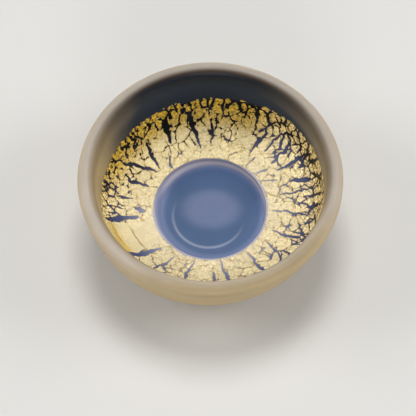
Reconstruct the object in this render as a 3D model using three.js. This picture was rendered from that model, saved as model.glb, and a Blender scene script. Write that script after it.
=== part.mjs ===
import * as THREE from 'three';

// Driving dimensions, in millimetres. The cup stands on its foot at z = 0 and opens upwards.
const cupDiameter = 80;
const cupHeight = 31;
const lipThickness = 5;        // the thick, fire-polished edge
const wallThickness = 3.1;     // half-way down the side
const baseThickness = 5.1;     // under the bowl, where the foot starts
const wallTaper = 2.4;         // how far the side draws in above the turn
const turnTaper = 3.2;         // how far it has drawn in where the turn is fullest
const turnHeight = 14.5;       // where the side starts to turn under
const bellyHeight = 6.8;       // where the turn is fullest
const footDiameter = 33;
const footHeight = 1.7;
const footBevel = 0.6;         // the ground edge of the foot
const pontilDiameter = 21.6;   // the shallow hollow ground under the base
const pontilDepth = 0.8;
const wellDiameter = 35.4;     // the round well in the bottom of the bowl
const wellDepth = 2.6;
const wellDraft = 1.5;         // how far the well narrows on its way down
const wellOffset = 0.7;        // its floor lies this far to one side, away from the lean
const bodyLean = 1.8;          // the blown body hangs this far to one side of its lip
const leanCurve = 1.3;         // above 1, most of the lean is low down

// Facets
const turns = 96;
const sideSteps = 13;
const lipSteps = 8;
const hollowSteps = 3;
const bowlSteps = 13;
const wellSteps = 4;

// How the glass thickens: a high power keeps it near the lip and the base
const growth = 4;
// The share of the wall over which its inside leaves the upright lip
const lipBlend = 0.08;
// Halvings in the search for the edge of the well
const searchSteps = 40;

const cupRadius = cupDiameter / 2;
const lipRadius = lipThickness / 2;
const rimHeight = cupHeight - lipRadius;
const footRadius = footDiameter / 2;
const pontilRadius = pontilDiameter / 2;
const wellRadius = wellDiameter / 2;

const point = (radius, height) => new THREE.Vector2(radius, height);

// The outside of the blown wall, from the lip at 0 to the foot at 1
const outerWall = new THREE.CubicBezierCurve(
  point(cupRadius, rimHeight),
  point(cupRadius - wallTaper, turnHeight),
  point(cupRadius - turnTaper, bellyHeight),
  point(footRadius, footHeight),
);

// The ground hollow, a shallow dish, and the flat ring of the foot around it
function underside() {
  const points = [];
  for (let i = 0; i <= hollowSteps; i += 1) {
    const share = i / hollowSteps;
    points.push(point(pontilRadius * share, pontilDepth * (1 - share * share)));
  }
  points.push(point(footRadius - footBevel, 0));
  points.push(point(footRadius, footBevel));
  return points;
}

function outerSide() {
  return outerWall.getPoints(sideSteps).reverse();
}

// Half a turn over the lip, from the outside to the inside
function lip() {
  const points = [];
  for (let i = 1; i <= lipSteps; i += 1) {
    const angle = Math.PI * i / lipSteps;
    const radius = cupRadius - lipRadius + lipRadius * Math.cos(angle);
    points.push(point(radius, rimHeight + lipRadius * Math.sin(angle)));
  }
  return points;
}

// The inside of the wall is set off from the outside by the glass, which is
// thickest at the lip and at the base
function innerWallPoint(share) {
  const tangent = outerWall.getTangent(share);
  const lipExtra = (lipThickness - wallThickness) * (1 - share) ** growth;
  const baseExtra = (baseThickness - wallThickness) * share ** growth;
  const glass = wallThickness + lipExtra + baseExtra;
  const settled = Math.min(1, share / lipBlend);
  const inward = point(-1, 0).lerp(point(tangent.y, -tangent.x), settled);
  return outerWall.getPoint(share).addScaledVector(inward, glass);
}

// Where the inside of the wall reaches the edge of the well
function shareAtWell() {
  let above = 0;
  let below = 1;
  for (let i = 0; i < searchSteps; i += 1) {
    const middle = (above + below) / 2;
    if (innerWallPoint(middle).x > wellRadius) above = middle;
    else below = middle;
  }
  return above;
}

function bowl() {
  const last = shareAtWell();
  const points = [];
  for (let i = 1; i <= bowlSteps; i += 1) {
    points.push(innerWallPoint(last * i / bowlSteps));
  }
  return points;
}

// The well drops a quarter wave from the bottom of the bowl to a level floor
function well(edge) {
  const points = [];
  for (let i = 1; i <= wellSteps; i += 1) {
    const share = i / wellSteps;
    const drop = wellDepth * Math.sin(Math.PI / 2 * share);
    points.push(point(edge.x - wellDraft * share, edge.y - drop));
  }
  points.push(point(0, edge.y - wellDepth));
  return points;
}

// The outside leans one way, more the lower it is, and the well the other way,
// more the deeper it is
function leanSkin(geometry, profileCount, outsideCount, edgeHeight) {
  const position = geometry.getAttribute('position');
  for (let i = 0; i < position.count; i += 1) {
    const height = position.getY(i);
    const drop = Math.max(0, rimHeight - height) / rimHeight;
    const sunk = Math.max(0, edgeHeight - height) / wellDepth;
    const isOutside = i % profileCount < outsideCount;
    const move = isOutside ? -bodyLean * drop ** leanCurve : wellOffset * sunk;
    position.setX(i, position.getX(i) + move);
  }
}

function cupGeometry() {
  const outside = [...underside(), ...outerSide(), ...lip()];
  const bowlPoints = bowl();
  const edge = bowlPoints.at(-1);
  const inside = [...bowlPoints, ...well(edge)];
  const profile = [...outside, ...inside];
  const geometry = new THREE.LatheGeometry(profile, turns);
  leanSkin(geometry, profile.length, outside.length, edge.y);
  geometry.rotateX(Math.PI / 2);
  return geometry;
}

const opalGlass = new THREE.MeshStandardMaterial({
  color: 0xb39f83,
  roughness: 0.35,
  metalness: 0,
});

const cup = new THREE.Mesh(cupGeometry(), opalGlass);
cup.name = 'cup';

const model = new THREE.Group();
model.add(cup);

export default model;
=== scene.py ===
"""A low sake cup of thick satin opal glass, lined with crackled gold leaf round a bare well."""
import math

import bpy
import numpy as np
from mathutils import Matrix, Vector


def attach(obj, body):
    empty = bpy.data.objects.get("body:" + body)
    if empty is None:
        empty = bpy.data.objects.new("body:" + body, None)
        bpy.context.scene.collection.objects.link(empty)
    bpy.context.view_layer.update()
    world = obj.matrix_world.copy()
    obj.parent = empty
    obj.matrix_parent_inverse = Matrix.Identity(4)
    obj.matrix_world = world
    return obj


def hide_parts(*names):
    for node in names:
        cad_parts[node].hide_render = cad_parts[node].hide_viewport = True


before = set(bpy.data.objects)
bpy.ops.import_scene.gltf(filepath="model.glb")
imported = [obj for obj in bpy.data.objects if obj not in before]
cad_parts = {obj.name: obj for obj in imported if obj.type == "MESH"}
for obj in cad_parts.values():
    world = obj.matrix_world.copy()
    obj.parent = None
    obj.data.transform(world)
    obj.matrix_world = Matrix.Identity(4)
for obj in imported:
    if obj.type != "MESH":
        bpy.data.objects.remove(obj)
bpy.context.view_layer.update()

MM = 0.001
TURN = 2 * math.pi

# Sizes of the blown glass, in millimetres
CUP_DIAMETER = 80.0
CUP_HEIGHT = 31.0
LIP_THICKNESS = 5.0
WALL_THICKNESS = 3.1     # half-way down the side
BASE_THICKNESS = 5.1     # under the bowl, where the foot starts
WALL_TAPER = 2.4         # how far the side draws in above the turn
TURN_TAPER = 3.2         # how far it has drawn in where the turn is fullest
TURN_HEIGHT = 14.5       # where the side starts to turn under
BELLY_HEIGHT = 6.8       # where the turn is fullest
FOOT_DIAMETER = 33.0
FOOT_HEIGHT = 1.7
FOOT_BEVEL = 0.6         # the ground edge of the foot
PONTIL_DIAMETER = 21.6   # the shallow hollow ground under the base
PONTIL_DEPTH = 0.8
WELL_DIAMETER = 35.4     # the round well in the bottom of the bowl
WELL_DEPTH = 2.6
WELL_DRAFT = 1.5         # how far the well narrows on its way down
WELL_OFFSET = 0.7        # its floor lies this far to one side, away from the lean
BODY_LEAN = 1.8          # the blown body hangs this far to one side of its lip
LEAN_CURVE = 1.3         # above 1, most of the lean is low down
GLASS_GROWTH = 4         # a high power keeps the thicker glass near the lip and the base
LIP_BLEND = 0.08         # the share of the wall over which its inside leaves the upright lip

CUP_RADIUS = CUP_DIAMETER / 2
LIP_RADIUS = LIP_THICKNESS / 2
RIM_HEIGHT = CUP_HEIGHT - LIP_RADIUS
FOOT_RADIUS = FOOT_DIAMETER / 2
PONTIL_RADIUS = PONTIL_DIAMETER / 2
WELL_RADIUS = WELL_DIAMETER / 2

# The camera, from the photograph's frame of 416 by 416 pixels
FRAME_PX = 416
LIP_WIDTH_PX = 267.0            # the outside of the lip, side to side
LIP_CENTRE_PX = (210.2, 171.5)  # where the middle of the mouth falls
FOCAL_PX = 1300.0
VIEW_ELEVATION = 61.5           # degrees that the camera stands above the plane of the lip
SENSOR_MM = 36.0
CLIP_START = 0.01               # metres


def add_camera():
    """A pinhole camera on the near side, aimed so that the mouth falls where the photograph has
    it.

    Its distance is the focal length in pixels times the millimetres that a pixel spans at the
    lip."""
    mm_per_px = CUP_DIAMETER / LIP_WIDTH_PX
    elevation = math.radians(VIEW_ELEVATION)
    towards = Vector((0, -math.cos(elevation), math.sin(elevation)))
    upward = Vector((0, math.sin(elevation), math.cos(elevation)))
    mouth = Vector((0, 0, CUP_HEIGHT))
    aside = (FRAME_PX / 2 - LIP_CENTRE_PX[0]) * mm_per_px
    below = (FRAME_PX / 2 - LIP_CENTRE_PX[1]) * mm_per_px
    aim = mouth + Vector((aside, 0, 0)) - upward * below
    place = mouth + towards * FOCAL_PX * mm_per_px
    data = bpy.data.cameras.new("camera")
    data.sensor_width = SENSOR_MM
    data.lens = SENSOR_MM * FOCAL_PX / FRAME_PX
    data.clip_start = CLIP_START
    camera = bpy.data.objects.new("camera", data)
    camera.location = place * MM
    camera.rotation_euler = (aim - place).to_track_quat("-Z", "Y").to_euler()
    bpy.context.collection.objects.link(camera)
    bpy.context.scene.camera = camera


add_camera()


def linear(code):
    """The linear RGBA of an sRGB hex colour."""
    shares = [int(code[i:i + 2], 16) / 255 for i in (1, 3, 5)]
    return [c / 12.92 if c <= 0.04045 else ((c + 0.055) / 1.055) ** 2.4 for c in shares] + [1.0]


def node(tree, kind, settings=None, stops=(), **links):
    """Adds a node. settings are its own properties, and stops the (position, sRGB hex) pairs of a
    colour ramp. links are its sockets' values or sources, each by its name, or by i and a number
    where several share one. A mix of colours has its factor at 0, its colours at 6 and 7 and its
    result at output 2."""
    made = tree.nodes.new(kind)
    for name, value in (settings or {}).items():
        setattr(made, name, value)
    if stops:
        elements = made.color_ramp.elements
        while len(elements) < len(stops):
            elements.new(1.0)
        for element, (position, code) in zip(elements, stops):
            element.position = position
            element.color = linear(code)
    for name, value in links.items():
        key = int(name[1:]) if name[0] == "i" and name[1:].isdigit() else name.replace("_", " ")
        socket = made.inputs[key]
        if isinstance(value, bpy.types.NodeSocket):
            tree.links.new(value, socket)
        else:
            socket.default_value = value
    return made


def new_material(name):
    """An empty node material, and its tree."""
    made = bpy.data.materials.new(name)
    made.use_nodes = True
    made.node_tree.nodes.clear()
    return made, made.node_tree


# Shapes


def bezier(corners, share):
    """Points and unit tangents of a cubic Bezier: its four corners weighted by the Bernstein
    polynomials of share, and the derivative of that sum, made one long."""
    corners = np.array(corners, float)
    t = np.asarray(share, float)[:, None]
    place = ((1 - t) ** 3 * corners[0] + 3 * (1 - t) ** 2 * t * corners[1]
             + 3 * (1 - t) * t ** 2 * corners[2] + t ** 3 * corners[3])
    legs = np.diff(corners, axis=0)
    along = (1 - t) ** 2 * legs[0] + 2 * (1 - t) * t * legs[1] + t ** 2 * legs[2]
    return place, along / np.linalg.norm(along, axis=1, keepdims=True)


def outer_wall(share):
    """(radius, height) and tangents of the outside, from the lip at 0 to the foot at 1."""
    corners = [
        (CUP_RADIUS, RIM_HEIGHT),
        (CUP_RADIUS - WALL_TAPER, TURN_HEIGHT),
        (CUP_RADIUS - TURN_TAPER, BELLY_HEIGHT),
        (FOOT_RADIUS, FOOT_HEIGHT),
    ]
    return bezier(corners, share)


def inner_wall(share):
    """The outside moved in by the glass: the wall's thickness, and more at the lip and the base
    by a high power of the way to each. At the lip the move is level."""
    place, along = outer_wall(share)
    share = np.asarray(share, float)
    glass = (WALL_THICKNESS + (LIP_THICKNESS - WALL_THICKNESS) * (1 - share) ** GLASS_GROWTH
             + (BASE_THICKNESS - WALL_THICKNESS) * share ** GLASS_GROWTH)
    settled = np.minimum(1, share / LIP_BLEND)[:, None]
    inward = (1 - settled) * [-1.0, 0.0] + settled * np.stack([along[:, 1], -along[:, 0]], 1)
    return place + inward * glass[:, None]


def smoothstep(share):
    """Eases a share from 0 to 1: three times its square less twice its cube."""
    return share * share * (3 - 2 * share)


def drift(around, along, cells, seed):
    """Smooth random values from -1 to 1 on a lattice that closes round the cup, blended by a
    smoothstep. around and along run from 0 to 1, and cells counts the lattice each way."""
    table = np.random.default_rng(seed).uniform(-1, 1, (cells[0], cells[1] + 2))
    x = np.asarray(around) % 1 * cells[0]
    y = np.clip(along, 0, 1) * cells[1]
    i, j = np.floor(x).astype(int) % cells[0], np.floor(y).astype(int)
    fx, fy = smoothstep(x - np.floor(x)), smoothstep(y - j)
    next_i = (i + 1) % cells[0]
    low = table[i, j] * (1 - fx) + table[next_i, j] * fx
    high = table[i, j + 1] * (1 - fx) + table[next_i, j + 1] * fx
    return low * (1 - fy) + high * fy


def drifts(around, along, layers):
    """The sum of drifts. Each layer is its size, its cells and its seed."""
    return sum(size * drift(around, along, cells, seed) for size, cells, seed in layers)


def dents(around, along, layers):
    """As drifts, but each layer goes from 0 to its size."""
    return sum(size * (1 + drift(around, along, cells, seed)) / 2 for size, cells, seed in layers)


def add_surface(name, points, attributes, poles=None, loop=False):
    """A closed mesh object from points, in millimetres, on a grid of rows and columns.

    The columns always close round the cup. The rows either close as a loop too, or end in a fan
    round each of two poles."""
    rows, columns = points.shape[:2]
    index = np.arange(rows * columns).reshape(rows, columns)
    ring = np.hstack([index, index[:, :1]])
    if loop:
        ring = np.vstack([ring, ring[:1]])
    faces = np.stack([ring[:-1, :-1], ring[:-1, 1:], ring[1:, 1:], ring[1:, :-1]], -1)
    faces = faces.reshape(-1, 4).tolist()
    places = points.reshape(-1, 3)
    if poles is not None:
        first, last = rows * columns, rows * columns + 1
        places = np.vstack([places, poles])
        faces += [(first, b, a) for a, b in zip(ring[0, :-1].tolist(), ring[0, 1:].tolist())]
        faces += [(last, a, b) for a, b in zip(ring[-1, :-1].tolist(), ring[-1, 1:].tolist())]
    mesh = bpy.data.meshes.new(name)
    mesh.from_pydata((places * MM).tolist(), [], faces)
    for key, values in attributes.items():
        flat = values.reshape(-1)
        if poles is not None:
            flat = np.append(flat, [values[0, 0], values[-1, 0]])
        attribute = mesh.attributes.new(key, "FLOAT", "POINT")
        attribute.data.foreach_set("value", flat.astype(np.float32))
    mesh.shade_smooth()
    mesh.update()
    made = bpy.data.objects.new(name, mesh)
    bpy.context.collection.objects.link(made)
    return made


# The glass

GLASS_COLUMNS = 320
OUTER_ROWS = 64
LIP_ROWS = 34
INNER_ROWS = 92
HOLLOW_ROWS = 12
FLOOR_ROWS = 22
WELL_ROWS = 14
BEVEL_ROWS = 5
WALL_SAMPLES = 2001      # in the search for the edge of the well
BOWL_SAMPLES = 1500      # in the measuring of the way up the bowl

# How unevenly the glass was blown: millimetres, cells round the cup and along it, and a seed
WALL_DENTS = [(0.22, (6, 3), 3), (0.02, (3, 40), 4)]   # the second are the faint marver lines
LIP_DENTS = [(0.12, (9, 1), 5)]
BOWL_DRIFT = [(0.1, (7, 3), 11)]
LEVEL = 0.5              # how far along, for a drift that only changes round the cup
WALL_FADE = 0.5          # the powers of a half sine by which these die away at both ends
LIP_FADE = 2
BOWL_FADE = 2

# The sides of the cup that carry painted light and shade: degrees between which each begins, and
# between which it ends
FAR_SHADE = ((-12, 22), (136, 170))          # painted shade on the far wall of the bowl, low down
FAR_SHADE_AT_LIP = ((-50, 70), (125, 185))   # and up at the lip
SHADE = ((38, 72), (154, 188))           # painted shade on this side: the glass under the leaf is black, the gold deeper
NEAR_LIP_LIGHT = ((225, 259), (316, 350))          # painted light on the near side: the lip amber, with its highlight at the inner edge
SIDE_DRIFT = [(5, (24, 1), 7)]           # how these wander: degrees, cells and seed
FAR_SHADE_CHANGE = (8, 13)                   # how far in from the lip the sides of that painted shade change

LEAF_WIDTH = 22.6        # how far up the bowl the gold leaf goes, on average
LEAF_SKEW = 2.9          # and how much further on one side
LEAF_SKEW_ANGLE = -35    # degrees
LEAF_FADE = 1.2          # the painted shade of the glass under the leaf comes in over this width inside its edge

wall_shares = np.linspace(0, 1, WALL_SAMPLES)
wall_inside = inner_wall(wall_shares)
share_at_well = np.interp(-WELL_RADIUS, -wall_inside[:, 0], wall_shares)
WELL_EDGE_HEIGHT = float(np.interp(share_at_well, wall_shares, wall_inside[:, 1]))
FLOOR_HEIGHT = WELL_EDGE_HEIGHT - WELL_DEPTH
# The way up the inside of the wall from the edge of the well, against share
bowl_shares = np.linspace(share_at_well, 0, BOWL_SAMPLES)
bowl_steps = np.linalg.norm(np.diff(inner_wall(bowl_shares), axis=0), axis=1)
bowl_arc = np.append(0, np.cumsum(bowl_steps))
CREST_TO_WELL = float(np.pi / 2 * LIP_RADIUS + bowl_arc[-1])


def lean(height):
    """How far the outside hangs to one side: a power of the drop below the lip."""
    drop = np.maximum(0, RIM_HEIGHT - height) / RIM_HEIGHT
    return -BODY_LEAN * drop ** LEAN_CURVE


def bowl_surface(rise, around):
    """(radius, height) on the inside of the wall, rise millimetres up it from the well: the
    turned profile, pressed in by a slow random swell that dies away at the lip and the well."""
    share = np.interp(rise, bowl_arc, bowl_shares)
    profile = inner_wall(share.reshape(-1)).reshape(*share.shape, 2)
    far = rise / bowl_arc[-1]
    fade = np.sin(np.pi * np.clip(far, 0, 1)) ** BOWL_FADE
    return profile[..., 0] - fade * drifts(around, far, BOWL_DRIFT), profile[..., 1]


def leaf_edge(around):
    """How far up the bowl the leaf goes: its width and a wave once round."""
    return LEAF_WIDTH + LEAF_SKEW * np.cos((around - LEAF_SKEW_ANGLE / 360) * TURN)


def side(around, fades):
    """1 on one side of the cup and 0 on the other. It is a smoothstep of the angle across the
    first of its two fades and back across the second. A slow random drift shifts both."""
    (start, full), (leaving, end) = fades
    middle = (full + leaving) / 2
    # The angle, within half a turn of the middle of the side
    degrees = middle + (around * 360 - middle + 180) % 360 - 180
    degrees = degrees + drifts(around, LEVEL, SIDE_DRIFT)
    into = np.minimum((degrees - start) / (full - start), (end - degrees) / (end - leaving))
    return smoothstep(np.clip(into, 0, 1))


def turned(radius, height, around, aside=0.0):
    """Points at the given radii and heights round the axis."""
    angle = around * TURN
    x = radius * np.cos(angle) + aside
    return np.stack(np.broadcast_arrays(x, radius * np.sin(angle), height), -1)


def glass_body():
    """The whole vessel as one closed skin, from the middle of the hollow underneath, out over the
    foot, up the outside, over the lip and down the inside to the middle of the well.

    Each stretch is its profile times a full turn. The outside and the lip are pressed in by slow
    random dents, and the outside by fine level lines too. The outside leans one way and the well
    the other. The attribute reach is the distance along the skin from the crest of the lip,
    inside positive and outside negative. covered is 1 under the leaf, where the gaps are painted
    in shade, and falls to 0 over LEAF_FADE inside its edge. far_shade is 1 on the far side, whose
    wall is painted in shade; near on the near side, whose lip is painted with light; and shade on
    the side where the leaf and its gaps are painted in deeper shade."""
    around = np.arange(GLASS_COLUMNS) / GLASS_COLUMNS

    hollow = np.linspace(0, 1, HOLLOW_ROWS + 1)[1:]
    bevel = np.linspace(-np.pi / 2, 0, BEVEL_ROWS)
    under = np.vstack([
        np.stack([PONTIL_RADIUS * hollow, PONTIL_DEPTH * (1 - hollow ** 2)], 1),
        np.stack([FOOT_RADIUS - FOOT_BEVEL + FOOT_BEVEL * np.cos(bevel),
                  FOOT_BEVEL + FOOT_BEVEL * np.sin(bevel)], 1),
    ])
    outside, _ = outer_wall(np.linspace(1, 0, OUTER_ROWS))
    over = np.linspace(0, np.pi, LIP_ROWS)[1:-1]
    lip = np.stack([CUP_RADIUS - LIP_RADIUS + LIP_RADIUS * np.cos(over),
                    RIM_HEIGHT + LIP_RADIUS * np.sin(over)], 1)
    rise = np.linspace(bowl_arc[-1], 0, INNER_ROWS)
    step = np.linspace(0, 1, WELL_ROWS)[1:]
    sunk = np.sin(np.pi / 2 * step)
    drop = np.stack([WELL_RADIUS - WELL_DRAFT * step, WELL_EDGE_HEIGHT - WELL_DEPTH * sunk], 1)
    across = np.linspace(1, 0, FLOOR_ROWS + 1)[1:-1]
    floor = np.stack([(WELL_RADIUS - WELL_DRAFT) * across, np.full(len(across), FLOOR_HEIGHT)], 1)

    up = (outside[:, 1:] - FOOT_HEIGHT) / (RIM_HEIGHT - FOOT_HEIGHT)
    fade = np.sin(np.pi * np.clip(up, 0, 1)) ** WALL_FADE
    dented = outside[:, :1] - fade * dents(around, up, WALL_DENTS)
    outer = turned(dented, outside[:, 1:], around, lean(outside[:, 1:]))

    lip_fade = np.sin(over)[:, None] ** LIP_FADE
    lip_height = lip[:, 1:] - lip_fade * dents(around, LEVEL, LIP_DENTS)
    lip_points = turned(lip[:, :1], lip_height, around)

    rise_all = np.broadcast_to(rise[:, None], (INNER_ROWS, GLASS_COLUMNS))
    bowl_radius, bowl_height = bowl_surface(rise_all, around)
    points = np.vstack([
        turned(under[:, :1], under[:, 1:], around, lean(under[:, 1:])),
        outer,
        lip_points,
        turned(bowl_radius, bowl_height, around),
        turned(drop[:, :1], drop[:, 1:], around, WELL_OFFSET * sunk[:, None]),
        turned(floor[:, :1], floor[:, 1:], around, WELL_OFFSET),
    ])
    poles = [(lean(PONTIL_DEPTH), 0, PONTIL_DEPTH), (WELL_OFFSET, 0, FLOOR_HEIGHT)]

    bowl = inner_wall(np.interp(rise, bowl_arc, bowl_shares))
    profile = np.vstack([under, outside, lip, bowl, drop, floor])
    length = np.append(0, np.cumsum(np.linalg.norm(np.diff(profile, axis=0), axis=1)))
    crest = length[len(under) + len(outside) + len(lip) // 2]
    reach = np.broadcast_to((length - crest)[:, None], points.shape[:2])
    within_leaf = leaf_edge(around) - (CREST_TO_WELL - reach)
    covered = np.where(reach < CREST_TO_WELL, np.clip(within_leaf / LEAF_FADE, 0, 1), 0)
    low, high = (np.array(fades)[..., None, None] for fades in (FAR_SHADE, FAR_SHADE_AT_LIP))
    far_shade = side(around, high + (low - high) * np.interp(reach, FAR_SHADE_CHANGE, (0, 1)))
    attributes = {"reach": reach,
                  "covered": covered,
                  "far_shade": far_shade,
                  "near": np.broadcast_to(side(around, NEAR_LIP_LIGHT), points.shape[:2]),
                  "shade": np.broadcast_to(side(around, SHADE), points.shape[:2])}
    return add_surface("glass_body", points, attributes, poles)


glass = glass_body()


# The gold leaf

LEAF_COLUMNS = 840
LEAF_ROWS = 110
LEAF_UNDER_ROWS = 8
LEAF_START = 0.1         # it stops just short of the well
LEAF_START_CALM = 0.25   # and further from it on the calm side, which is away from SHADE
LEAF_MARGIN = 1.4        # the sheet goes on, sunk in the glass, this far past the leaf
LEAF_PROUD = 0.08        # it stands this far out of the glass, thicker than real leaf to show
LEAF_SUNK = 0.12         # and dips this far under it in a gap
LEAF_BACK = 0.35         # how far below its face its back lies
EDGE_SLOPE = 0.2         # the width of the slope at a torn edge
ROUNDING = 0.16          # of the corners of the flakes
JITTER = 0.45            # how far a cell's point strays from its place, in cells
SPARE_ROWS = 6           # rows of cells beyond those on the leaf
ROWS_BELOW = 2           # and how many of them lie below it
FAR_INSIDE = 9.0         # stands for a cell's border with itself: more than the size of a cell
TINY = 1e-6              # keeps the division by a span from failing at 0
WHOLE_INSIDE = 1.5       # how far inside the leaf the whole sector counts as
DRIFT_SPAN = 26.0        # the way up the bowl that the wavers of single lines run over

# Random shifts: millimetres, cells round the cup and up the bowl, and a seed
FLAKES_ASIDE = [(0.5, (60, 9), 31), (0.28, (150, 22), 32), (0.14, (340, 48), 36)]
FLAKES_UP = [(0.6, (50, 8), 33), (0.3, (150, 22), 34), (0.14, (340, 48), 37)]
RAGGED = [(0.26, (190, 26), 47), (0.11, (400, 54), 48)]
TEAR_WAVER = [(0.9, (60, 12), 21), (0.45, (170, 34), 22)]
FOLD_WAVER = [(0.4, (90, 12), 64)]
CREASE_WAVER = [(0.3, (90, 12), 65)]
START_WAVER = [(0.18, (40, 1), 53)]
END_WAVER = [(0.7, (90, 1), 51)]
END_FRAY = [(0.35, (260, 20), 52)]
CRUMPLE = [(0.03, (75, 8), 61), (0.045, (190, 22), 62), (0.03, (400, 50), 63)]

# How two of them grow on the way out: two shares of the way, and the shares of the shift there
RAGGED_GROWTH = ((0.225, 0.65), (0.15, 1.0))
CRUMPLE_GROWTH = ((0.2, 0.7), (0.35, 1.0))
RAGGED_CALM = 0.55       # the share of the raggedness on the calm side
RAGGED_TEARS = 0.45      # and along the main tears

# The nets of cracks: long slits, plates and small flakes. Each has count cells round the cup, of
# a height in millimetres. Its opening grows from start on, a share of the leaf's width, changes
# at random and stops at widest. Its level borders get only a share of it. It loses calm on the
# calm side. tone is the weight of its cells' own tones.
NETS = [
    {"count": 72, "height": 8.0, "level": 0.15, "seed": 41, "start": 0.38, "growth": 0.84,
     "drift": [(0.26, (60, 4), 42)], "widest": 0.5, "calm": 0.0, "tone": 0.45},
    {"count": 54, "height": 4.2, "level": 0.65, "seed": 43, "start": 0.5, "growth": 0.5,
     "drift": [(0.28, (50, 6), 44)], "widest": 0.26, "calm": 0.0, "tone": 0.35},
    {"count": 116, "height": 2.3, "level": 0.9, "seed": 45, "start": 1.0, "growth": 0.5,
     "drift": [(0.32, (44, 7), 46)], "widest": 0.07, "calm": 0.2, "tone": 0.2},
]

# Main tears: degrees at the end by the well and at the outer end, millimetres up the bowl where
# they begin and end, and their widest gap
TEARS = [
    (184, 182, 2.4, 6.5, 2.0),
    (189, 194, 5.0, 19.0, 3.0),
    (224, 215, 3.0, 16.5, 2.7),
    (98, 105, 3.6, 19.0, 1.9),
    (89, 89, 6.5, 14.0, 1.3),
    (120, 116, 8.0, 18.0, 2.8),
    (140, 133, 3.6, 13.5, 1.9),
    (143, 156, 3.4, 15.5, 1.9),
    (160, 162, 3.0, 12.0, 2.0),
    (174, 177, 7.0, 13.0, 1.2),
    (131, 126, 0.2, 6.0, 0.7),
    (158, 158, 0.0, 2.6, 0.6),
    (41, 37, 0.4, 5.0, 0.7),
    (29, 21, 1.6, 6.0, 0.8),
    (52, 52, 0.8, 6.0, 0.6),
    (72, 67, 0.8, 4.5, 0.6),
    (38, 38, 7.0, 17.0, 1.7),
    (31, 26, 7.0, 20.0, 1.6),
    (19, 11, 9.0, 17.0, 2.4),
    (23, 25, 13.0, 22.0, 1.7),
    (11, 7, 4.5, 17.0, 1.0),
    (48, 46, 8.5, 18.0, 1.3),
    (57, 53, 5.0, 19.0, 1.4),
    (76, 76, 6.0, 12.0, 0.8),
    (237, 233, 3.0, 13.0, 1.0),
    (256, 251, 0.6, 12.0, 1.1),
    (273, 273, 5.0, 12.0, 1.2),
    (280, 284, 0.4, 12.0, 1.5),
    (307, 305, 1.4, 14.0, 1.3),
    (327, 316, 2.8, 14.0, 1.1),
    (337, 334, 3.2, 18.0, 1.1),
    (357, 351, 2.0, 16.0, 1.0),
    (91, 93, 14.0, 25.0, 1.2),
    (83, 82, 13.0, 25.0, 1.2),
    (70, 68, 13.5, 25.0, 1.1),
]
TEAR_STRAIGHT = 0.3      # the share of its waver that a tear has at its inner end
TEAR_OPENS = 0.5         # the powers of the way along it by which it opens and shuts
TEAR_SHUTS = 4
PATCH = (194, 217)       # degrees of the sector where the leaf lies whole, between two tears
PATCH_FADE = 2.5         # and over which that comes and goes
PATCH_SMOOTH = 0.75      # the share of the crumpling that it lacks
FOLD_RISE = 16.2         # how far up the bowl its outer edge is doubled over
FOLD_SLANT = 0.12        # millimetres that the fold comes down with each degree
FOLD_WIDTH = 1.6
# Creases in it, painted as lines of shade: degrees and millimetres up the bowl at one end, and at
# the other
CREASES = [(195, 9.2, 219, 7.2), (193, 15.8, 212, 13.2)]
CREASE_WIDTH = 0.24
CREASE_TAPER = 0.25      # the share of its length over which each end dies away
# How torn the leaf is round the cup: degrees, and a share of the usual openings
TORN = [(0, 0.8), (30, 0.95), (60, 1.0), (120, 1.0), (145, 0.95), (165, 0.8), (185, 0.9),
        (240, 0.75), (280, 0.6), (320, 0.95)]


def softened(values):
    """The least of the values, rounded off where two are alike: less ROUNDING times the logarithm
    of the sum of the exponentials of how far each is above the least, over ROUNDING."""
    least = values.min(0)
    return least - ROUNDING * np.log(np.exp((least - values) / ROUNDING).sum(0))


def net(around, rise, girth, opening, count, height, level, seed):
    """How far, in millimetres, each point is inside the borders of its cell in a net of cells, and
    the cell's own random value.

    The cells belong to points jittered from staggered rows, count round the cup and one for each
    height up it. With the nearest point at distance d1 and another at dk, their border is
    (dk squared less d1 squared) over twice the span between the two points away. The opening is
    taken off, in full at an upright border and only the share level of it at a level one."""
    rng = np.random.default_rng(seed)
    rows = int(rise.max() / height) + SPARE_ROWS
    jitter = rng.uniform(-JITTER, JITTER, (2, count, rows))
    value = rng.uniform(0, 1, (count, rows))
    j0 = np.floor(rise / height).astype(int)
    spots = []
    for dj in (-1, 0, 1):
        j = j0 + dj
        stagger = 0.5 * (j % 2)
        i0 = np.floor(around * count - stagger).astype(int)
        for di in (-2, -1, 0, 1, 2):
            i = i0 + di
            a, b = i % count, np.clip(j + ROWS_BELOW, 0, rows - 1)
            x = (around - (i + 0.5 + stagger + jitter[0, a, b]) / count) * girth
            y = rise - (j + 0.5 + jitter[1, a, b]) * height
            spots.append(np.stack([x, y, value[a, b]]))
    spots = np.stack(spots)
    squares = spots[:, 0] ** 2 + spots[:, 1] ** 2
    nearest = squares.argmin(0)[None]
    x1, y1, tone = (np.take_along_axis(spots[:, k], nearest, 0)[0] for k in range(3))
    span = np.maximum(np.hypot(spots[:, 0] - x1, spots[:, 1] - y1), TINY)
    upright = ((spots[:, 0] - x1) / span) ** 2
    inside = (squares - squares.min(0)) / (2 * span)
    inside -= opening * (level + (1 - level) * upright)
    np.put_along_axis(inside, nearest, FAR_INSIDE, 0)
    return inside, tone


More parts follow.
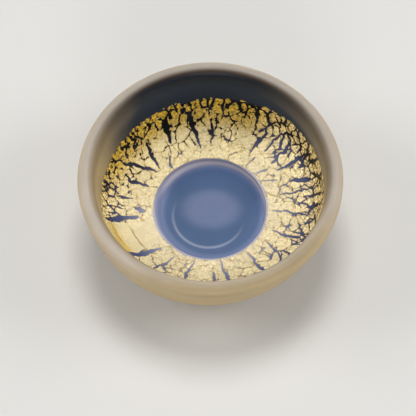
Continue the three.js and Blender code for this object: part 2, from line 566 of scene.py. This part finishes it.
def tear_distance(around, rise, girth):
    """Distance outside the nearest main tear, negative within it.

    A tear runs in a wavering line from its inner to its outer end. Its width is its widest gap
    times one power of the way along it, times one less a higher power of that way."""
    waver = drifts(around, rise / DRIFT_SPAN, TEAR_WAVER)
    nearest = np.full(rise.shape, np.inf)
    for inner, outer, start, end, widest in TEARS:
        way = np.clip((rise - start) / (end - start), 0, 1)
        middle = (inner + (outer - inner) * way) / 360
        off = (around - middle + 0.5) % 1 - 0.5
        aside = np.abs(off * girth + waver * (TEAR_STRAIGHT + (1 - TEAR_STRAIGHT) * way))
        beyond = np.maximum(0, np.maximum(start - rise, rise - end))
        half = 0.5 * widest * way ** TEAR_OPENS * (1 - way ** TEAR_SHUTS)
        nearest = np.minimum(nearest, np.hypot(aside, beyond) - half)
    return nearest


def sector(around):
    """1 in the sector where the leaf lies whole, and 0 outside it, with PATCH_FADE between."""
    degrees = around * 360
    within = np.minimum(degrees - PATCH[0], PATCH[1] - degrees)
    return np.clip(within / PATCH_FADE, 0, 1)


def crackle(around, rise, girth):
    """How far inside the leaf each point is, in millimetres, negative in a gap, and the tone of
    its flake.

    The leaf is what is left inside the borders of the nets and outside the main tears. The nets'
    openings grow on the way out and come and go at random, and next to the well most are shut.
    On the calm side the small flakes open less and all edges are less ragged. One sector stays
    whole. The outer edge frays."""
    far = rise / LEAF_WIDTH
    warped = around + drifts(around, far, FLAKES_ASIDE) / girth
    lifted = rise + drifts(around, far, FLAKES_UP)
    torn = np.interp(around * 360, *zip(*TORN), period=360)
    calm = 1 - side(around, SHADE)
    borders, tone = [], 0
    for kind in NETS:
        opening = (kind["growth"] * (far - kind["start"]) + drifts(around, far, kind["drift"])
                   - kind["calm"] * calm)
        opening = np.minimum(kind["widest"], np.where(opening > 0, torn, 1) * opening)
        border, own_tone = net(warped, lifted, girth, opening, kind["count"], kind["height"],
                               kind["level"], kind["seed"])
        borders.append(border)
        tone = tone + kind["tone"] * own_tone

    ragged = drifts(around, far, RAGGED)
    inside = softened(np.concatenate(borders))
    inside = inside + ragged * np.interp(far, *RAGGED_GROWTH) * (1 - (1 - RAGGED_CALM) * calm)
    whole = sector(around)
    inside = inside * (1 - whole) + WHOLE_INSIDE * whole
    tears = tear_distance(around, rise, girth) + RAGGED_TEARS * ragged
    end = leaf_edge(around) + drifts(around, LEVEL, END_WAVER) + drifts(around, far, END_FRAY)
    start = LEAF_START + LEAF_START_CALM * calm + drifts(around, LEVEL, START_WAVER)
    for limit in (tears, end - rise, rise - start):
        inside = np.minimum(inside, limit)
    return inside, tone


def fold(around, rise):
    """1 on the doubled-over edge of the whole sector, a bell across a slanting line."""
    line = (FOLD_RISE - FOLD_SLANT * (around * 360 - PATCH[0])
            + drifts(around, rise / DRIFT_SPAN, FOLD_WAVER))
    return sector(around) * np.exp(-((rise - line) / FOLD_WIDTH) ** 2)


def creases(around, rise):
    """1 along each crease of the whole sector: a bell across the line between its ends."""
    degrees = around * 360
    waver = drifts(around, rise / DRIFT_SPAN, CREASE_WAVER)
    deepest = np.zeros(rise.shape)
    for first, low, last, high in CREASES:
        way = (degrees - first) / (last - first)
        line = low + (high - low) * way + waver
        ends = np.clip(np.minimum(way, 1 - way) / CREASE_TAPER, 0, 1)
        deepest = np.maximum(deepest, ends * np.exp(-((rise - line) / CREASE_WIDTH) ** 2))
    return deepest


def gold_leaf():
    """The leaf as one closed sheet on the inside of the bowl.

    Its top is the glass moved out along its normal by a relief: proud of the glass inside the
    leaf, sunk below it in the gaps, with a short slope between, and crumpled by random drifts.
    Its back is the same strip of bowl, moved down by LEAF_BACK and out by half of that."""
    around = np.arange(LEAF_COLUMNS) / LEAF_COLUMNS
    reach_up = LEAF_WIDTH + LEAF_SKEW + LEAF_MARGIN
    rise = np.linspace(reach_up, 0, LEAF_ROWS)[:, None]
    around_all, rise_all = np.broadcast_arrays(around, rise)
    radius, height = bowl_surface(rise_all, around_all)
    slope = np.stack([np.gradient(radius, axis=0), np.gradient(height, axis=0)], -1)
    slope /= np.linalg.norm(slope, axis=-1, keepdims=True)
    inside, tone = crackle(around_all, rise_all, TURN * radius)
    step = np.clip(inside / EDGE_SLOPE, -1, 1)
    relief = np.where(step > 0, LEAF_PROUD * step, LEAF_SUNK * step)
    far = rise_all / reach_up
    crumple = drifts(around_all, far, CRUMPLE) * np.interp(far, *CRUMPLE_GROWTH)
    relief = relief + crumple * np.clip(step, 0, 1)
    top = turned(radius + slope[..., 1] * relief, height - slope[..., 0] * relief, around)

    back_rise = np.linspace(0, reach_up, LEAF_UNDER_ROWS)[:, None]
    back_around, back_all = np.broadcast_arrays(around, back_rise)
    back_radius, back_height = bowl_surface(back_all, back_around)
    back = turned(back_radius + 0.5 * LEAF_BACK, back_height - LEAF_BACK, around)

    points = np.vstack([top, back])
    pad = ((0, LEAF_UNDER_ROWS), (0, 0))
    crumpled = 1 - PATCH_SMOOTH * sector(around_all)
    attributes = {"inside": np.pad(inside, pad, constant_values=-1.0),
                  "tone": np.pad(tone, pad),
                  "crumpled": np.pad(crumpled, pad),
                  "crease": np.pad(creases(around_all, rise_all), pad),
                  "fold": np.pad(fold(around_all, rise_all), pad),
                  "shade": np.broadcast_to(side(around, SHADE), points.shape[:2]),
                  "rise": np.vstack([rise_all, back_all])}
    return add_surface("gold_leaf", points, attributes, loop=True)


leaf = gold_leaf()


# Finishes

# Settings of a mix of colours
BLEND = {"data_type": "RGBA"}
MULTIPLY = {"data_type": "RGBA", "blend_type": "MULTIPLY"}

# The patterns and marks: sizes in millimetres, and strengths from 0 to 1
REACH_SPAN = 60.0        # the ramps run from this far outside the crest of the lip to this far in
CLOUD_SIZE = 9.0         # of the soft clouds in the opal
CLOUD_STRENGTH = 0.22
STREAK_RUN = 26.0        # how far the level streaks of the blown wall run before they wander
STREAKS_PER_MM = 1.1     # and how close they lie
STREAKS_END = (12.0, 20.0)                # how far inside the crest they fade, and are gone
SATIN_GRAIN = 0.6        # the real grain is too fine to show, so it is drawn this coarse
CRINKLE_SIZE = 0.7       # of the crinkles in the leaf
TORN_EDGE = 0.22         # the width of a flake's edge, painted darker as shade where it slopes into a gap
NEAR_LIP_LIGHT_END = (4.0, 9.0)    # how far inside the crest the near side's painted light fades, and is gone
ARC_CENTRE = (-0.45, -1.3, FLOOR_HEIGHT)  # a painted highlight: the pale arc in the well, where the edge of the hollow underneath shows through
ARC_RADIUS = 11.35
ARC_HALF_WIDTH = 1.0
ARC_TOWARDS = (-0.35, -0.94, 0.0)         # the side on which it is painted lit
ARC_START = -0.25        # the share of its radius on that side at which it starts
ARC_STRENGTH = 0.5
REFLECTION_CENTRE = (0.4, 0.9, FLOOR_HEIGHT)   # a painted reflection of a soft box, paler in the middle of the well
REFLECTION_SQUEEZE = (0.95, 1.3, 1.0)
REFLECTION_RADII = (5.4, 11.4)                 # where it is full, and where it has gone
REFLECTION_STRENGTH = 0.82


def at(reach):
    """Where a distance from the crest of the lip falls on a ramp."""
    return (reach + REACH_SPAN) / (2 * REACH_SPAN)


def satin_opal_glass():
    """Opal glass, blown and left satin: taupe outside, over the lip and down the pale side of the
    bowl, and denim blue in the well. The far side of the bowl is painted in slate shade. Its skin
    has a soft waxy sheen.

    Its colours go by the distance from the crest of the lip, on five ramps: the near side of the
    lip, painted with light; the pale side; the far side, painted in shade; and under the leaf the
    painted shade of the gaps, dark blue on one side and darker on the side in shade. The lip's
    crest and the lower edge of the outside carry painted highlights, and the wall of the well
    painted light."""
    material, tree = new_material("satin_opal_glass")
    marks = {name: node(tree, "ShaderNodeAttribute", {"attribute_name": name}).outputs["Fac"]
             for name in ("reach", "covered", "far_shade", "near", "shade")}
    reach = node(tree, "ShaderNodeMapRange", Value=marks["reach"], From_Min=-REACH_SPAN,
                 From_Max=REACH_SPAN).outputs["Result"]
    # The outside, darker toward the foot, with a painted highlight: the bright line where it turns
    # away from the camera
    outside = [(at(-60), "#A08A66"), (at(-24), "#C4AA7A"), (at(-20), "#E4CF9C"),
               (at(-16.5), "#C4A978"), (at(-6), "#BEA77F")]
    # The lip's crest is painted paler lilac-grey: a painted highlight along its top
    lip = [(at(-2.6), "#C2B096"), (at(-1.3), "#BBAF9F")]
    # The near side of the lip: its highlight painted at the inner edge instead of at the crest, and
    # the crest a darker amber
    near = node(tree, "ShaderNodeValToRGB", Fac=reach, stops=[
        *outside,
        (at(-2.6), "#BCA882"),
        (at(-1.3), "#AB9775"),
        (at(0), "#A5967A"),
        (at(1.3), "#BEB09A"),
        (at(2.2), "#BBAC98"),
        (at(3.2), "#A4927A"),
        (at(9), "#CAB38C"),
    ]).outputs["Color"]
    pale = node(tree, "ShaderNodeValToRGB", Fac=reach, stops=[
        *outside,
        *lip,
        # The inside of the crest carries the same painted highlight
        (at(0.6), "#B5A99C"),
        (at(1.4), "#AA9A82"),
        (at(2.4), "#A28F6E"),
        (at(9), "#CEB68E"),
        (at(CREST_TO_WELL - 18), "#AC9870"),
        # The well's wall is painted pale lilac, lit all the way down, fading into the blue floor
        (at(CREST_TO_WELL - 0.3), "#BEC2DA"),
        (at(CREST_TO_WELL + 0.8), "#A6ACCA"),
        (at(CREST_TO_WELL + 1.8), "#8E98BC"),
        (at(CREST_TO_WELL + 3.0), "#798AB2"),
        (at(CREST_TO_WELL + 4.6), "#4E6B99"),
        (at(CREST_TO_WELL + 9), "#426290"),
    ]).outputs["Color"]
    # The far side: the lip as elsewhere, and the wall below it painted in dark slate shade
    far_light_and_shade = node(tree, "ShaderNodeValToRGB", Fac=reach, stops=[
        *outside,
        *lip,
        (at(0.2), "#9C9488"),
        (at(1.2), "#5C4C40"),
        (at(1.8), "#322C2C"),
        (at(3.0), "#252B34"),
        (at(9), "#323C49"),
        (at(CREST_TO_WELL - 18), "#28303C"),
        # On the far side the well's wall is painted with a lilac-white highlight, and the floor
        # just inside it is darker
        (at(CREST_TO_WELL - 0.4), "#7C7C9C"),
        (at(CREST_TO_WELL + 0.6), "#B0B0CA"),
        (at(CREST_TO_WELL + 1.3), "#DCDCEA"),
        (at(CREST_TO_WELL + 2.1), "#CACADC"),
        (at(CREST_TO_WELL + 2.9), "#4E6292"),
        (at(CREST_TO_WELL + 4.4), "#375888"),
        (at(CREST_TO_WELL + 9), "#426290"),
    ]).outputs["Color"]
    # Under the leaf, painted shade in the gaps: darkest toward the leaf's outer edge, paler lilac
    # toward the well
    navy_gap_shade = node(tree, "ShaderNodeValToRGB", Fac=reach, stops=[
        (at(CREST_TO_WELL - 25), "#242222"),
        (at(CREST_TO_WELL - 18.5), "#1C1A20"),
        (at(CREST_TO_WELL - 14.5), "#464A6E"),
        (at(CREST_TO_WELL - 11), "#50587C"),
        (at(CREST_TO_WELL - 6), "#7E86A6"),
        (at(CREST_TO_WELL - 2), "#B4B2CC"),
        (at(CREST_TO_WELL), "#CCCADE"),
    ]).outputs["Color"]
    # The same painted shade on the side in shade, darker still
    black_gap_shade = node(tree, "ShaderNodeValToRGB", Fac=reach, stops=[
        (at(CREST_TO_WELL - 18), "#050506"),
        (at(CREST_TO_WELL - 12), "#0A0B0E"),
        (at(CREST_TO_WELL - 8), "#2A2C44"),
        (at(CREST_TO_WELL - 2), "#6A6A92"),
        (at(CREST_TO_WELL), "#9A98B8"),
    ]).outputs["Color"]
    # The far side's painted shade, mixed over the pale side
    bare = node(tree, "ShaderNodeMix", BLEND, i0=marks["far_shade"], i6=pale, i7=far_light_and_shade).outputs[2]
    # The near side's painted light over that, fading out inside the lip
    by_lip = node(tree, "ShaderNodeMapRange", Value=marks["reach"], From_Min=NEAR_LIP_LIGHT_END[1],
                  From_Max=NEAR_LIP_LIGHT_END[0]).outputs["Result"]
    by_lip = node(tree, "ShaderNodeMath", {"operation": "MULTIPLY"}, i0=by_lip,
                  i1=marks["near"]).outputs["Value"]
    bare = node(tree, "ShaderNodeMix", BLEND, i0=by_lip, i6=bare, i7=near).outputs[2]
    # Under the leaf the gaps are painted in shade, darkest on the side in shade
    under = node(tree, "ShaderNodeMix", BLEND, i0=marks["shade"], i6=navy_gap_shade, i7=black_gap_shade).outputs[2]
    colour = node(tree, "ShaderNodeMix", BLEND, i0=marks["covered"], i6=bare, i7=under).outputs[2]
    place = node(tree, "ShaderNodeTexCoord").outputs["Object"]

    # The painted reflection of a soft box in the middle of the well and the painted highlight of
    # the arc round it, both kept off the underside
    inner = node(tree, "ShaderNodeMath", {"operation": "GREATER_THAN"}, i0=marks["reach"],
                 i1=0.0).outputs["Value"]
    off = node(tree, "ShaderNodeVectorMath", {"operation": "SUBTRACT"}, i0=place,
               i1=tuple(c * MM for c in REFLECTION_CENTRE)).outputs["Vector"]
    off = node(tree, "ShaderNodeVectorMath", {"operation": "MULTIPLY"}, i0=off,
               i1=REFLECTION_SQUEEZE).outputs["Vector"]
    off = node(tree, "ShaderNodeVectorMath", {"operation": "LENGTH"}, i0=off).outputs["Value"]
    soft_box_reflection = node(tree, "ShaderNodeMapRange", {"interpolation_type": "SMOOTHSTEP"}, Value=off,
                 From_Min=REFLECTION_RADII[1] * MM, From_Max=REFLECTION_RADII[0] * MM,
                 To_Max=REFLECTION_STRENGTH).outputs["Result"]
    soft_box_reflection = node(tree, "ShaderNodeMath", {"operation": "MULTIPLY"}, i0=soft_box_reflection,
                 i1=inner).outputs["Value"]
    colour = node(tree, "ShaderNodeMix", BLEND, i0=soft_box_reflection, i6=colour,
                  i7=linear("#7886B0")).outputs[2]

    # The arc: a painted highlight, brightest toward ARC_TOWARDS
    away = node(tree, "ShaderNodeVectorMath", {"operation": "SUBTRACT"}, i0=place,
                i1=tuple(c * MM for c in ARC_CENTRE)).outputs["Vector"]
    length = node(tree, "ShaderNodeVectorMath", {"operation": "LENGTH"}, i0=away).outputs["Value"]
    across = node(tree, "ShaderNodeMapRange", Value=length,
                  From_Min=(ARC_RADIUS - ARC_HALF_WIDTH) * MM,
                  From_Max=(ARC_RADIUS + ARC_HALF_WIDTH) * MM).outputs["Result"]
    line = node(tree, "ShaderNodeValToRGB", Fac=across,
                stops=[(0.12, "#000000"), (0.5, "#FFFFFF"), (0.88, "#000000")])
    line.color_ramp.interpolation = "EASE"
    towards = node(tree, "ShaderNodeVectorMath", {"operation": "DOT_PRODUCT"}, i0=away,
                   i1=ARC_TOWARDS).outputs["Value"]
    lit = node(tree, "ShaderNodeMapRange", {"interpolation_type": "SMOOTHSTEP"}, Value=towards,
               From_Min=ARC_START * ARC_RADIUS * MM, From_Max=ARC_RADIUS * MM,
               To_Max=ARC_STRENGTH).outputs["Result"]
    shown = node(tree, "ShaderNodeMath", {"operation": "MULTIPLY"}, i0=line.outputs["Color"],
                 i1=lit).outputs["Value"]
    shown = node(tree, "ShaderNodeMath", {"operation": "MULTIPLY"}, i0=shown,
                 i1=inner).outputs["Value"]
    colour = node(tree, "ShaderNodeMix", BLEND, i0=shown, i6=colour,
                  i7=linear("#C4CCE4")).outputs[2]

    # Clouds all over, and the streaks of the blown wall, which fade out inside the lip
    cloud = node(tree, "ShaderNodeTexNoise", Vector=place, Scale=1 / (CLOUD_SIZE * MM),
                 Detail=4.0).outputs["Fac"]
    mottled = node(tree, "ShaderNodeMix", MULTIPLY, i0=CLOUD_STRENGTH, i6=colour,
                   i7=cloud).outputs[2]
    wander = node(tree, "ShaderNodeVectorMath", {"operation": "SCALE"}, i0=place,
                  Scale=1 / (STREAK_RUN * MM)).outputs["Vector"]
    level = node(tree, "ShaderNodeMath", {"operation": "MULTIPLY"}, i0=marks["reach"],
                 i1=STREAKS_PER_MM).outputs["Value"]
    level = node(tree, "ShaderNodeCombineXYZ", X=level).outputs["Vector"]
    wound = node(tree, "ShaderNodeVectorMath", {"operation": "ADD"}, i0=level,
                 i1=wander).outputs["Vector"]
    streaks = node(tree, "ShaderNodeTexNoise", Vector=wound, Scale=1.0, Detail=2.0).outputs["Fac"]
    streaks = node(tree, "ShaderNodeMapRange", Value=streaks, From_Min=0.3, From_Max=0.7,
                   To_Min=0.94, To_Max=1.04).outputs["Result"]
    streaked = node(tree, "ShaderNodeMapRange", Value=marks["reach"], From_Min=STREAKS_END[1],
                    From_Max=STREAKS_END[0]).outputs["Result"]
    mottled = node(tree, "ShaderNodeMix", MULTIPLY, i0=streaked, i6=mottled, i7=streaks).outputs[2]

    grain = node(tree, "ShaderNodeTexNoise", Vector=place, Scale=1 / (SATIN_GRAIN * MM),
                 Detail=3.0).outputs["Fac"]
    bump = node(tree, "ShaderNodeBump", Strength=0.1, Distance=0.05 * MM,
                Height=grain).outputs["Normal"]
    shader = node(tree, "ShaderNodeBsdfPrincipled", Base_Color=mottled, Roughness=0.42, IOR=1.5,
                  Specular_IOR_Level=0.13, Subsurface_Weight=0.2,
                  Subsurface_Radius=(1.0, 0.7, 0.5), Subsurface_Scale=1.2 * MM,
                  Coat_Weight=0.04, Coat_Roughness=0.3, Normal=bump)
    node(tree, "ShaderNodeOutputMaterial", Surface=shader.outputs["BSDF"])
    return material


def beaten_gold_leaf():
    """Beaten gold leaf, crinkled as the glass under it was blown out: pale and bright where it
    lies smooth, a deeper yellow where its torn edges have doubled up. On one side it is painted
    in shade, darker toward the lip, and its crinkles, creases and torn edges are painted with
    their light and shade.

    Its colours go by the way up the bowl, on a ramp for the pale side and one for the side in
    painted shade."""
    material, tree = new_material("beaten_gold_leaf")
    marks = {name: node(tree, "ShaderNodeAttribute", {"attribute_name": name}).outputs["Fac"]
             for name in ("inside", "rise", "shade", "fold", "crease", "tone", "crumpled")}
    height = node(tree, "ShaderNodeMapRange", Value=marks["rise"], From_Min=0.0,
                  From_Max=LEAF_WIDTH).outputs["Result"]
    pale = node(tree, "ShaderNodeValToRGB", Fac=height, stops=[
        (0.0, "#D8D2D4"),
        (0.05, "#EFE0BA"),
        (0.5, "#F2E2B4"),
        (0.7, "#F4E2B0"),
        (0.88, "#EED494"),
    ]).outputs["Color"]
    # The side in painted shade: the gold deepens toward the lip, where the lip's shadow is painted
    shaded_gold = node(tree, "ShaderNodeValToRGB", Fac=height, stops=[
        (0.0, "#EADAAC"),
        (0.44, "#EAD8A4"),
        (0.62, "#D2B150"),
        (0.8, "#D8B434"),
    ]).outputs["Color"]
    flat = node(tree, "ShaderNodeMix", BLEND, i0=marks["shade"], i6=pale, i7=shaded_gold).outputs[2]
    folded = node(tree, "ShaderNodeMix", BLEND, i0=marks["fold"], i6=flat,
                  i7=linear("#EACA6A")).outputs[2]
    # Painted shade along the creases
    crease_shaded = node(tree, "ShaderNodeMix", BLEND, i0=marks["crease"], i6=folded,
                   i7=linear("#A8894E")).outputs[2]
    # Painted shade on each flake's torn edge, where it slopes down into a gap
    depth = node(tree, "ShaderNodeMapRange", Value=marks["inside"], From_Min=0.0,
                 From_Max=TORN_EDGE).outputs["Result"]
    colour = node(tree, "ShaderNodeMix", BLEND, i0=depth, i6=linear("#BFA15C"),
                  i7=crease_shaded).outputs[2]
    tone = node(tree, "ShaderNodeMapRange", Value=marks["tone"], From_Min=0.2, From_Max=0.8,
                To_Min=0.86, To_Max=1.0).outputs["Result"]
    toned = node(tree, "ShaderNodeMix", MULTIPLY, i0=1.0, i6=colour, i7=tone).outputs[2]

    # The crinkles, deeper the further out the leaf was stretched: bumped, and their light and shade
    # painted into the colour
    place = node(tree, "ShaderNodeTexCoord").outputs["Object"]
    crinkle = node(tree, "ShaderNodeTexNoise", Vector=place, Scale=1 / (CRINKLE_SIZE * MM),
                   Detail=4.0, Roughness=0.7).outputs["Fac"]
    shading = node(tree, "ShaderNodeMapRange", Value=crinkle, From_Min=0.36, From_Max=0.64,
                   To_Min=0.2, To_Max=1.75).outputs["Result"]
    amount = node(tree, "ShaderNodeMapRange", Value=height, From_Min=0.45, From_Max=0.8,
                  To_Min=0.25, To_Max=1.0).outputs["Result"]
    amount = node(tree, "ShaderNodeMath", {"operation": "MULTIPLY"}, i0=amount,
                  i1=marks["crumpled"]).outputs["Value"]
    toned = node(tree, "ShaderNodeMix", MULTIPLY, i0=amount, i6=toned, i7=shading).outputs[2]
    bump = node(tree, "ShaderNodeBump", Strength=0.5, Distance=0.12 * MM,
                Height=crinkle).outputs["Normal"]
    shader = node(tree, "ShaderNodeBsdfPrincipled", Base_Color=toned, Metallic=0.4, Roughness=0.62,
                  Normal=bump)
    node(tree, "ShaderNodeOutputMaterial", Surface=shader.outputs["BSDF"])
    return material


glass.data.materials.append(satin_opal_glass())
leaf.data.materials.append(beaten_gold_leaf())

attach(glass, "root")
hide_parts("cup")
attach(leaf, "root")


# The studio

FLOOR_HALF = 3.0         # metres
# Soft boxes: name, place and size in metres, and power in watts
LIGHTS = [
    ("key", (0.0, 0.29, 0.84), 0.32, 4.5),
    ("left", (-0.7, 0.05, 0.45), 0.4, 3.0),
    ("right", (0.7, 0.05, 0.45), 0.4, 3.0),
    ("front", (0.0, -0.7, 0.28), 0.3, 2.15),
]
SKY_STRENGTH = 0.22


def add_floor():
    """A plain pale sheet that the cup stands on."""
    mesh = bpy.data.meshes.new("floor")
    corners = [(x * FLOOR_HALF, y * FLOOR_HALF, 0) for x, y in ((-1, -1), (1, -1), (1, 1), (-1, 1))]
    mesh.from_pydata(corners, [], [(0, 1, 2, 3)])
    floor = bpy.data.objects.new("floor", mesh)
    bpy.context.collection.objects.link(floor)
    material, tree = new_material("pale_board")
    shader = node(tree, "ShaderNodeBsdfPrincipled", Base_Color=linear("#CFCDC9"),
                  Roughness=0.7)
    node(tree, "ShaderNodeOutputMaterial", Surface=shader.outputs["BSDF"])
    mesh.materials.append(material)


def add_light(name, place, size, power):
    """A white square soft box at place that faces the cup."""
    data = bpy.data.lights.new(name, "AREA")
    data.size = size
    data.energy = power
    light = bpy.data.objects.new(name, data)
    light.location = place
    light.rotation_euler = (-Vector(place)).to_track_quat("-Z", "Y").to_euler()
    bpy.context.collection.objects.link(light)


def add_world():
    """A dim even sky."""
    world = bpy.data.worlds.new("world")
    world.use_nodes = True
    world.node_tree.nodes.clear()
    sky = node(world.node_tree, "ShaderNodeBackground", Color=linear("#C8CCD2"),
               Strength=SKY_STRENGTH)
    node(world.node_tree, "ShaderNodeOutputWorld", Surface=sky.outputs["Background"])
    bpy.context.scene.world = world


add_floor()
add_world()
for name, place, size, power in LIGHTS:
    add_light(name, place, size, power)

bpy.context.scene.view_settings.view_transform = "Standard"
